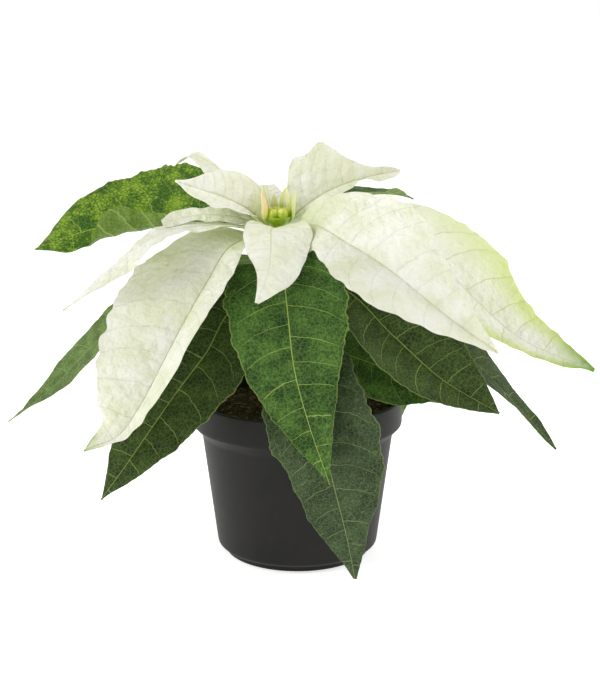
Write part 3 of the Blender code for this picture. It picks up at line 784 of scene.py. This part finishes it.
def leaf_look(name, dark, light, vein, dust=0.1, islands=0.0):
    """The upper face and the underside of one leaf, with its greens. Dust greys it, and islands are
    the lighter patches between its finest veins, each by some share."""

    def with_stalk(along, blade):
        return along.between(0.02, -0.02).mix(blade, colour(122, 140, 66))

    def upper(place):
        side, along = blade_map(place, "blade")
        rib, lateral, net = vein_lines(place, along, 0.0095)
        cloud = place.noise(LEAF_CLOUDS, 3, 0.6)
        speck = place.noise(SPECKS, 4, 0.8)
        grains = place.noise(DUST_GRAINS, 2, 0.6).between(0.6, 0.72)
        patch = place.cells(ISLANDS).between(0.0, 0.4) * cloud.between(0.25, 0.65) - 0.35
        body = (cloud * 0.45 + speck * 0.55 + patch * islands).between(0.36, 0.64).mix(dark, light)
        dusted = (grains * dust).mix(body, colour(196, 204, 170))
        netted = (net * 0.16).mix(dusted, vein)
        lined = (lateral * abs(side).between(1.05, 0.7) * 0.75).mix(netted, vein)
        # A thin pale line along the margin is a painted highlight where light catches the leaf's edge
        edge_highlighted = (abs(side).between(0.97, 0.99) * 0.4).mix(rib.mix(lined, vein), vein)
        pores = place.cells(PORES, "F1")
        return {
            "Base Color": with_stalk(along, edge_highlighted),
            "Roughness": 0.48 + speck * 0.16 + lateral * 0.1,
            "Normal": (pores * 0.35 - lateral * 0.5 - net * 0.4 + speck * 0.9).bump(0.5 * MM, 0.8),
        }

    def under(place):
        along = blade_map(place, "blade")[1]
        rib, lateral, net = vein_lines(place, along, 0.03)
        speck = place.noise(UNDER_SPECKS, 3, 0.7)
        body = speck.between(0.35, 0.65).mix(colour(92, 124, 44), colour(122, 150, 66))
        lined = (lateral * 0.6 + net * 0.15).mix(body, colour(170, 188, 104))
        return {
            "Base Color": with_stalk(along, (rib * 0.9).mix(lined, colour(172, 188, 104))),
            "Normal": (lateral + net * 0.5 + speck * 0.3).bump(0.3 * MM, 0.6),
        }

    return [material(name, upper, {"Specular IOR Level": 0.22}),
            material(name + "_underside", under, {"Roughness": 0.6, "Specular IOR Level": 0.2})]


# The shape of the three leaves at the back, which the photo doesn't show
UNSEEN = {"fold": (12, 12), "curl": (-10, -10), "wave": (1.5, 1.5), "teeth": 7}
# Each green leaf: the height at which its petiole leaves the stem, and the points that its petiole
# and midrib pass through, in millimetres
LEAVES = {
    "leaf_front": Leaf(
        150, [(-7, -14, 166), (-8, -23, 173), (-7, -34, 165), (-5, -48, 149), (-1, -68, 121), (6, -78, 97),
              (17, -85, 66)],
        petiole=20, halves=(34, 34), roll=[8, 16, 14], fold=(4, 4), rise=0.45, fall=1.15, teeth=7),
    "leaf_low_front": Leaf(
        112, [(0, -20, 122), (3, -38, 126), (6, -52, 118), (11, -66, 96), (19, -74, 63), (26, -76, 35),
              (31, -74, 9)],
        halves=([1, 21, 26, 28, 32, 31, 28, 22, 13, 7, 1], [1, 21, 27, 29, 29, 24, 21, 18, 13, 7, 1]),
        petiole=36, roll=[30, 30, 35], fold=(8, 8), teeth=7),
    "leaf_front_left": Leaf(
        128, [(-14, -10, 141), (-24, -15, 149), (-34, -22, 147), (-50, -42, 125), (-64, -53, 108),
              (-79, -64, 88), (-92, -70, 70), (-104, -74, 54)],
        petiole=24, halves=(29, 29), roll=-48, fold=(24, 2), teeth=7),
    "leaf_left": Leaf(
        136, [(-26, -4, 152), (-54, -10, 160), (-82, -16, 150), (-110, -22, 129), (-137, -28, 102),
              (-160, -32, 85)],
        petiole=46, halves=(22, 22), roll=-12, fold=(8, 2), teeth=7),
    "leaf_back_left": Leaf(
        160, [(-18, 18, 172), (-28, 34, 186), (-44, 48, 192), (-82, 58, 184), (-124, 58, 178),
              (-156, 48, 168)],
        halves=([4, 20, 26, 28, 28, 27, 35, 32, 17, 12, 1], [2, 14, 21, 36, 43, 45, 42, 35, 26, 15, 1]),
        petiole=42, roll=[-45, -42, -30], fold=([2, 0, -5, -10, -30, 0], 5), wave=(0.5, 2), teeth=9,
        curl=([0, 30, 60, 90, 120, 140, 165, 155, 60, 10, 0], -8)),
    "leaf_front_right": Leaf(
        145, [(4, -8, 155), (14, -16, 160), (24, -22, 158), (52, -39, 135), (79, -52, 113), (108, -58, 97)],
        petiole=34, halves=(28, 28), roll=42, fold=(25, 30), rise=1.0),
    "leaf_right": Leaf(
        138, [(18, -2, 152), (38, -6, 151), (60, -8, 141), (97, -14, 117), (117, -18, 97), (146, -22, 66)],
        petiole=38, halves=(22, 22), roll=8, fold=(5, 8)),
    "leaf_low_right": Leaf(
        118, [(10, -7, 122), (24, -14, 120), (47, -20, 113), (70, -19, 105), (91, -14, 93)],
        petiole=16, halves=([9, 22, 29, 30, 29, 27, 24, 20, 15, 8, 1], 27), roll=25, fold=(0, -5), teeth=7),
    "leaf_back_right": Leaf(
        166, [(-1, 14, 180), (9, 30, 191), (31, 60, 197), (63, 90, 195), (72, 97, 192)],
        petiole=32, halves=(20, 20), fold=(20, 20), curl=(-10, -10), teeth=7),
    "leaf_back": Leaf(
        155, [(-13, 18, 163), (-16, 38, 164), (-22, 62, 145), (-26, 80, 114), (-26, 90, 82)],
        petiole=30, halves=(28, 28), **UNSEEN),
    "leaf_low_back": Leaf(
        120, [(8, 14, 130), (22, 32, 134), (42, 56, 116), (58, 76, 84), (66, 86, 50)],
        petiole=32, halves=(27, 27), **UNSEEN),
    "leaf_low_left": Leaf(
        124, [(-22, 8, 138), (-44, 20, 141), (-68, 36, 122), (-88, 48, 90), (-98, 56, 56)],
        petiole=34, halves=(26, 26), **UNSEEN),
}

FRESH = leaf_look("fresh_leaf", colour(22, 60, 8), colour(78, 118, 44), colour(166, 188, 96), islands=0.12)
# SHADED is a darker copy of the fresh greens for the leaves that lie in shade: painted shade
SHADED = leaf_look("shaded_leaf", colour(24, 42, 6), colour(60, 84, 30), colour(156, 176, 94))
DUSTY = leaf_look("dusty_leaf", colour(28, 46, 18), colour(66, 86, 50), colour(134, 152, 98), dust=0.4)
BRIGHT = leaf_look("bright_leaf", colour(38, 84, 2), colour(140, 174, 42), colour(160, 190, 80), islands=0.22)
SILVER = leaf_look("silvery_leaf", colour(56, 88, 28), colour(122, 148, 76), colour(158, 174, 108))
LEAF_LOOKS = {
    "leaf_low_front": DUSTY, "leaf_left": SILVER, "leaf_back_left": BRIGHT, "leaf_front_left": SHADED,
    "leaf_front_right": SHADED, "leaf_right": SHADED, "leaf_low_back": SHADED, "leaf_low_left": SHADED,
}

for name, leaf in LEAVES.items():
    look = LEAF_LOOKS.get(name, FRESH)
    place_piece("blade_of_" + name, leaf.mesh(LEAF_SKIN), look, [name])

# The bracts: ten creamy leaves in front and at the sides and two behind, each a soft waved blade on a
# short petiole near the top of the stem. Their veins show as fine green lines, their skin is
# puckered between them, and two of them are green at the tip.

BRACT_SKIN = {**LEAF_SKIN, "quilt": 0.35, "pucker": 0.5, "ruffle": 1.6, "wander": (0.07, 7)}
BRACT_TONES = ((236, 238, 210), (252, 252, 240))
BRACT_CLOUDS = 45
BRACT_CREASES = 260


def bract_look(name, tip=0.0, edge=0.0, shade=0):
    """The upper face and the underside of a bract. Its tip or edge is green by some share, and a shade
    above 0 makes its upper face that many screen levels darker: painted shade for a bract that lies in shade."""

    def skin(place, net_share, lateral_share, dull, bright):
        side, along = blade_map(place, "blade")
        rib, lateral, net = vein_lines(place, along, 0.014)
        cloud = place.noise(BRACT_CLOUDS, 3, 0.6)
        speck = place.noise(SPECKS, 3, 0.7)
        cream = (cloud * 0.8 + speck * 0.2).between(0.35, 0.65).mix(dull, bright)
        netted = (net * net_share).mix(cream, colour(214, 222, 178))
        lined = (lateral * lateral_share).mix(netted, colour(196, 208, 140))
        ribbed = (rib * along.between(1.1, 0.0) * 0.5).mix(lined, colour(186, 202, 118))
        body = (along.between(0.22, -0.05) * 0.8).mix(ribbed, colour(192, 208, 110))
        if edge:
            fringe = (abs(side) + (cloud - 0.5) * 0.7 + lateral * 0.2).between(0.2, 1.0)
            body = (fringe * along.between(0.0, 0.7) * edge).mix(body, colour(204, 222, 116))
        if tip:
            end = (along + (cloud - 0.5) * 0.16 + abs(side) * 0.05).between(1.02 - 0.14 * tip, 1.04)
            body = end.mix(body, colour(112, 158, 30))
        return body, rib, lateral, net, speck

    def upper(place):
        # A shade darkens both cream tones alike: painted shade
        dull, bright = (colour(*[level - shade for level in tone]) for tone in BRACT_TONES)
        body, rib, lateral, _, speck = skin(place, 0.1, 0.1 + 0.25 * edge, dull, bright)
        creases = place.noise(BRACT_CREASES, 3, 0.5)
        return {
            "Base Color": body,
            "Roughness": 0.5 + speck * 0.14,
            "Normal": (creases * 2.4 - lateral * 0.3 - rib * 0.3).bump(0.9 * MM, 0.8),
        }

    def under(place):
        pale = colour(214, 222, 184), colour(230, 235, 206)
        body, rib, lateral, net, speck = skin(place, 0.25, 0.45, *pale)
        return {
            "Base Color": body,
            "Normal": (lateral + rib + net * 0.5 + speck * 0.2).bump(0.3 * MM, 0.6),
        }

    soft = {"Subsurface Weight": 0.25, "Subsurface Radius": (1.0, 1.0, 0.75), "Subsurface Scale": 1.0 * MM,
            "Specular IOR Level": 0.25}
    return [material(name, upper, soft), material(name + "_underside", under, {**soft, "Roughness": 0.62})]


BRACTS = {
    "bract_front": Leaf(
        184, [(-12, -10, 189), (-14, -18, 190), (-14, -30, 186), (-15, -46, 172), (-21, -58, 157)],
        petiole=5, halves=([12, 22, 21, 18, 11, 1], [12, 14, 15, 12, 5, 1]), roll=-5,
        fold=([30, 5, -18, -22, -22, -22], [20, 5, 5, 15, 25, 30]), wave=(0.5, 0.5)),
    "bract_front_left": Leaf(
        176, [(-20, -5, 183), (-32, -11, 182), (-50, -34, 161), (-62, -48, 141), (-73, -60, 121),
              (-83, -68, 103), (-94, -73, 89), (-112, -76, 82)],
        petiole=10, halves=(22, 39), roll=[-40, -46, -48, -30], fold=([40, 60, 66, 40], [-22, -8, 2, 2]),
        curl=(-10, 0), rise=0.7, fall=0.9),
    "bract_left": Leaf(
        179.5, [(-19, -3, 186), (-32, -6, 190), (-53, -13, 191), (-75, -22, 188), (-99, -30, 171),
                (-127, -36, 148)],
        halves=([1, 4, 6, 6, 10, 16, 18, 16, 13, 7, 1], [1, 3, 4, 6, 12, 16, 10, 5, 4, 2, 1]),
        petiole=12, fold=(-5, [20, 20, 5, 0, 0, 0]), wave=(1, 0.5)),
    "bract_upper_left": Leaf(
        186, [(-17, 4, 188.5), (-22, 5, 193), (-31, 3, 200), (-43, -1, 206), (-57, -4, 211),
              (-67, -7, 215)],
        halves=([1, 11, 13, 13, 14, 16, 18, 17, 14, 8, 1], [1, 9, 14, 15, 16, 16, 14, 10, 6, 3, 1]),
        petiole=9, roll=-55, fold=([60, 40, 40], 26), wave=(0.5, 1)),
    "bract_back_left": Leaf(
        179, [(-17, 9, 185), (-26, 17, 197), (-38, 26, 210), (-51, 37, 221), (-61, 42, 224),
              (-70, 42, 220)],
        halves=([4, 10, 14, 15, 14, 12, 10, 8, 6, 4, 1], [4, 5, 5, 4, 3, 3, 2, 1, 3, 4, 1]),
        petiole=20, roll=-20, curl=(-10, -10)),
    "bract_back_small": Leaf(
        182.5, [(-14, 8, 187), (-15, 12, 198), (-17, 18, 207), (-18, 25, 209), (-19, 31, 205)],
        petiole=8, halves=(8.5, 8.5), fold=(0, 0), wave=(0, 0)),
    "bract_upper_right": Leaf(
        185, [(-8, 7, 187.5), (-4, 11, 191), (3, 13, 197), (14, 13, 205), (37, 14, 214), (58, 16, 218)],
        halves=([2, 8, 17, 26, 24, 26, 16, 10, 5, 3, 1], [2, 3, 5, 12, 15, 10, 6, 1, 11, 8, 1]),
        petiole=10, roll=35, fold=(40, 20)),
    "bract_front_right": Leaf(
        181, [(3, -9, 190), (29, -36, 184), (48, -52, 174), (79, -68, 151), (104, -74, 134)],
        halves=([6, 15, 26, 31, 34, 31, 25, 19, 13, 6, 1], [14, 22, 14, 19, 27, 31, 31, 24, 16, 7, 1]),
        petiole=8, roll=[20, 35, 35, 35], fold=(28, [-45, -20, 15, 23, 23, 23])),
    "bract_right": Leaf(
        176, [(2, 2, 187), (29, 4, 195), (60, 0, 186), (85, -8, 163), (126, -22, 128), (163, -32, 114)],
        halves=([1, 9, 16, 26, 34, 35, 30, 24, 18, 9, 1], [1, 10, 19, 26, 28, 27, 24, 18, 12, 7, 1]),
        petiole=30, roll=30, fold=(12, [20, 22, 12, 12, 20])),
    "bract_left_small": Leaf(
        183, [(-19, 0, 188), (-26, -1, 192), (-38, -4, 195.5), (-56, -8, 196), (-74, -13, 192.5)],
        halves=([1, 2, 4, 5, 5, 5, 5, 4, 4, 4, 3], [1, 3, 6, 7, 7, 7, 6, 6, 6, 6, 3]),
        petiole=7, roll=-40, fold=(0, 0), wave=(0, 0.5)),
    "bract_back": Leaf(
        174, [(-9, 14, 185), (-8, 34, 190), (-8, 62, 180), (-10, 88, 156), (-11, 104, 128)],
        petiole=28, halves=(25, 25), curl=(-10, -10)),
    "bract_back_right": Leaf(
        171, [(4, 7, 181), (24, 17, 187), (48, 30, 184), (70, 43, 167), (86, 53, 142)],
        petiole=18, halves=(21, 21), curl=(-10, -10)),
}

CREAM = bract_look("cream_bract")
# Bracts that lie in shade get their cream darkened by some screen levels: painted shade
SHADED_CREAM = bract_look("shaded_bract", shade=10)
SHADED_GREEN_TIPPED = bract_look("shaded_green_tipped_bract", tip=0.5, shade=14)
GREEN_EDGED = bract_look("green_edged_bract", tip=1.3, edge=0.8)
SHADED_BRACTS = ("bract_left", "bract_front_right", "bract_upper_right", "bract_left_small")
BRACT_LOOKS = {
    "bract_front_left": SHADED_GREEN_TIPPED, "bract_right": GREEN_EDGED,
    **dict.fromkeys(SHADED_BRACTS, SHADED_CREAM),
}

for name, bract in BRACTS.items():
    look = BRACT_LOOKS.get(name, CREAM)
    place_piece("blade_of_" + name, bract.mesh(BRACT_SKIN), look, [name])

# The stem can be placed now, with a swelling for every petiole
joints = [leaf.height for leaf in (LEAVES | BRACTS).values()]
stem_green = material("stem_skin", stem_sockets, {"Roughness": 0.5})
place_piece("main_stem", stem_mesh(joints), [stem_green], ["stem"])

# The flower buds: six green eggs with five soft ribs each, which grew packed together in a bright
# green cup on the end of the stem. One stands in the middle and five round it.

SEAT_HEIGHT = 6 * MM
CUP_OUTLINE = [(0, 0), (2.7, 0), (4.3, 1.8), (7, 4.6), (7.4, 6), (6.9, 6.2), (6, 5), (0, 4.4)]
CUP_ROUNDING = 0.8 * MM
CUP_STEPS = 72
BUD_COUNT = 5
BUD_CIRCLE = 4.6 * MM
BUD_RADIUS = 2.9 * MM
BUD_TALL = 8 * MM
BUD_LIFT = 1.8 * MM
BUD_TURN = math.radians(18)
MIDDLE_TURN = 0.3
BUD_SIDES = 40
BUD_RINGS = 30
BUD_BLUNT = 0.8
BUD_RIBS = 5
BUD_RIB_SHARE = 0.12
MOUTH_DEPTH = 0.9 * MM
MOUTH_SHARE = 0.12
BUD_MOTTLE = 500


def add_bud(shape, place, turn):
    """One bud: an upright egg with soft ribs that close over a small mouth."""
    rings = []
    for share in [i / BUD_RINGS for i in range(1, BUD_RINGS)]:
        polar = math.pi * share
        dip = MOUTH_DEPTH * math.exp(-((1 - share) / MOUTH_SHARE) ** 2)
        height = -BUD_TALL / 2 * math.cos(polar) - dip
        ring = []
        for angle in turns(BUD_SIDES):
            rib = 1 + BUD_RIB_SHARE * math.cos(BUD_RIBS * (angle + turn)) * math.sin(polar) * share
            out = BUD_RADIUS * math.sin(polar) ** BUD_BLUNT * rib
            away = Vector((out * math.cos(angle), out * math.sin(angle), height))
            ring.append(shape.verts.new(place + away))
        rings.append(ring)
    close_rings(shape, rings)


def bud_mesh():
    x, y, z = stem_axis(STEM_TOP)
    middle = Vector((x, y, z + SEAT_HEIGHT + BUD_LIFT))
    shape = bmesh.new()
    add_bud(shape, middle, MIDDLE_TURN)
    for turn in turns(BUD_COUNT, BUD_TURN):
        add_bud(shape, middle + BUD_CIRCLE * Vector((math.cos(turn), math.sin(turn), 0)), turn)
    outline = [(radius * MM, height * MM) for radius, height in CUP_OUTLINE]
    cup = turned(rounded(outline, CUP_ROUNDING), CUP_STEPS)
    cup.transform(Matrix.Translation((x, y, z + SEAT_GAP)))
    shape.from_mesh(cup)
    bpy.data.meshes.remove(cup)
    return mesh_of(shape)


def bud_sockets(place):
    fine = place.noise(BUD_MOTTLE, 3)
    ripe = (place.part(2) + fine * 2 * MM).between(STEM_TOP + 7 * MM, STEM_TOP + 12 * MM)
    body = ripe.mix(colour(158, 188, 26), colour(220, 226, 96))
    return {
        "Base Color": (fine.between(0.4, 0.7) * 0.5).mix(body, colour(96, 134, 14)),
        "Normal": fine.bump(0.2 * MM, 0.5),
    }


bud_green = material("bud_skin", bud_sockets, {
    "Roughness": 0.4, "Subsurface Weight": 0.1, "Subsurface Scale": 0.5 * MM})
place_piece("green_buds", bud_mesh(), [bud_green], ["flower_buds"])

# The young bracts: five narrow ones, still yellow-green, that grow from the side of the cup and stand
# round the buds. A path's points are distances out from the stem's middle and up from its end.

YOUNG_FOOT = (6.5, 3)
YOUNG_BEND = (8.3, 5.6)
YOUNG_STAND = 8.6
YOUNG_SHAPE = {"petiole": 1.5, "stalk": 0.6, "fold": (24, 24), "wave": (0, 0), "rise": 0.5, "fall": 0.7}
YOUNG_SKIN = {"veins": 6, "quilt": 0.05, "pucker": 0.04, "ruffle": 0, "wander": (0.03, 4), "grid": (60, 8)}
YOUNG_MOTTLE = 600
# Each one's direction in degrees, and its lean, height and width in millimetres
YOUNG_BRACTS = [(205, 1, 15, 8), (150, 1, 17, 6), (104, 0, 12, 5), (58, 0.5, 16, 8), (5, 1.5, 15, 8)]


def young_bract(turn, lean, tall, width):
    top = stem_axis(STEM_TOP) / MM
    out = np.array([math.cos(turn), math.sin(turn), 0])
    blade = [(YOUNG_STAND + lean * share, YOUNG_BEND[1] + tall * share) for share in (0.5, 1)]
    path = [top + radius * out + [0, 0, height] for radius, height in (YOUNG_FOOT, YOUNG_BEND, *blade)]
    return Leaf(0, path[1:], halves=(width / 2, width / 2), seat=path[0] * MM, **YOUNG_SHAPE)


def young_look(name, low, high, stripe):
    """A young bract's skin: it goes from one colour at its foot to another at its tip."""

    def skin(place):
        side, along = blade_map(place, "blade")
        fine = place.noise(YOUNG_MOTTLE, 3)
        body = (along + (fine - 0.5) * 0.2).between(0.0, 0.75).mix(low, high)
        return {
            "Base Color": (abs(side).between(0.55, 0.1) * 0.6).mix(body, stripe),
            "Normal": fine.bump(0.15 * MM, 0.4),
        }

    soft = {"Roughness": 0.5, "Subsurface Weight": 0.3, "Subsurface Scale": 0.8 * MM}
    return [material(name, skin, soft)] * 2


YOUNG_GREEN = young_look(
    "young_bract_green", colour(170, 200, 46), colour(228, 234, 168), colour(246, 248, 226))
YOUNG_ROSE = young_look(
    "young_bract_rose", colour(184, 200, 60), colour(228, 202, 150), colour(242, 226, 194))
for k, (turn, *sizes) in enumerate(YOUNG_BRACTS, 1):
    young = young_bract(math.radians(turn), *sizes)
    look = YOUNG_ROSE if k == 1 else YOUNG_GREEN
    place_piece(f"young_blade_{k}", young.mesh(YOUNG_SKIN), look, [f"young_bract_{k}"])

# The stage: a white floor that runs far back, a sky that is white at the horizon and dimmer overhead,
# one large soft light from the upper left and a weaker one from the right. The camera stands where
# the photographer's stood.

FLOOR_REACH = 40
FLOOR_GLOW = 0.62
WHITE = (1, 1, 1, 1)
OVERHEAD = (0.5, 0.5, 0.5, 1)
HORIZON = (0.04, 0.35)
LIT_SPOT = (0, 0, 0.12)
CAMERA_PLACE = (1.5 * MM, -0.8, 0.309)
CAMERA_PITCH = math.radians(13.44)
SENSOR_WIDTH = 36
LENS = 74.3


def floor_sockets(place):
    return {"Base Color": place.noise(3, 1).mix(colour(250, 250, 250), colour(252, 252, 252))}


floor_shape = bmesh.new()
bmesh.ops.create_grid(floor_shape, x_segments=1, y_segments=1, size=FLOOR_REACH)
floor = add_object("floor", mesh_of(floor_shape))
floor.data.materials.append(material("white_floor", floor_sockets, {
    "Roughness": 0.9, "Specular IOR Level": 0.1, "Emission Color": WHITE, "Emission Strength": FLOOR_GLOW}))
floor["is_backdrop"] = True

sky = bpy.data.worlds.new("studio")
bpy.context.scene.world = sky
sky.use_nodes = True
sky_height = Shade(sky.node_tree).node("TexCoord", {}, {}, "Generated").part(2)
sky_tint = sky_height.between(*HORIZON).mix(WHITE, OVERHEAD)
sky.node_tree.links.new(sky_tint.socket, sky.node_tree.nodes["Background"].inputs["Color"])


def soft_light(name, place, size, power):
    lamp = bpy.data.lights.new(name, "AREA")
    lamp.shape = "DISK"
    lamp.size = size
    lamp.energy = power
    holder = add_object(name, lamp)
    holder.location = place
    holder.rotation_euler = (Vector(LIT_SPOT) - Vector(place)).to_track_quat("-Z", "Y").to_euler()


soft_light("key_light", place=(-1.1, -0.4, 1.05), size=0.7, power=9.5)
soft_light("fill_light", place=(1.1, 0.1, 0.9), size=0.8, power=6)

lens = bpy.data.cameras.new("camera")
lens.sensor_width = SENSOR_WIDTH
lens.lens = LENS
camera = add_object("camera", lens)
camera.location = CAMERA_PLACE
camera.rotation_euler = (math.radians(90) - CAMERA_PITCH, 0, 0)
bpy.context.scene.camera = camera
bpy.context.scene.view_settings.view_transform = "Standard"

sizes = {"cad": [list(corner) for corner in cad_box], "visual": [list(corner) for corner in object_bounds()]}
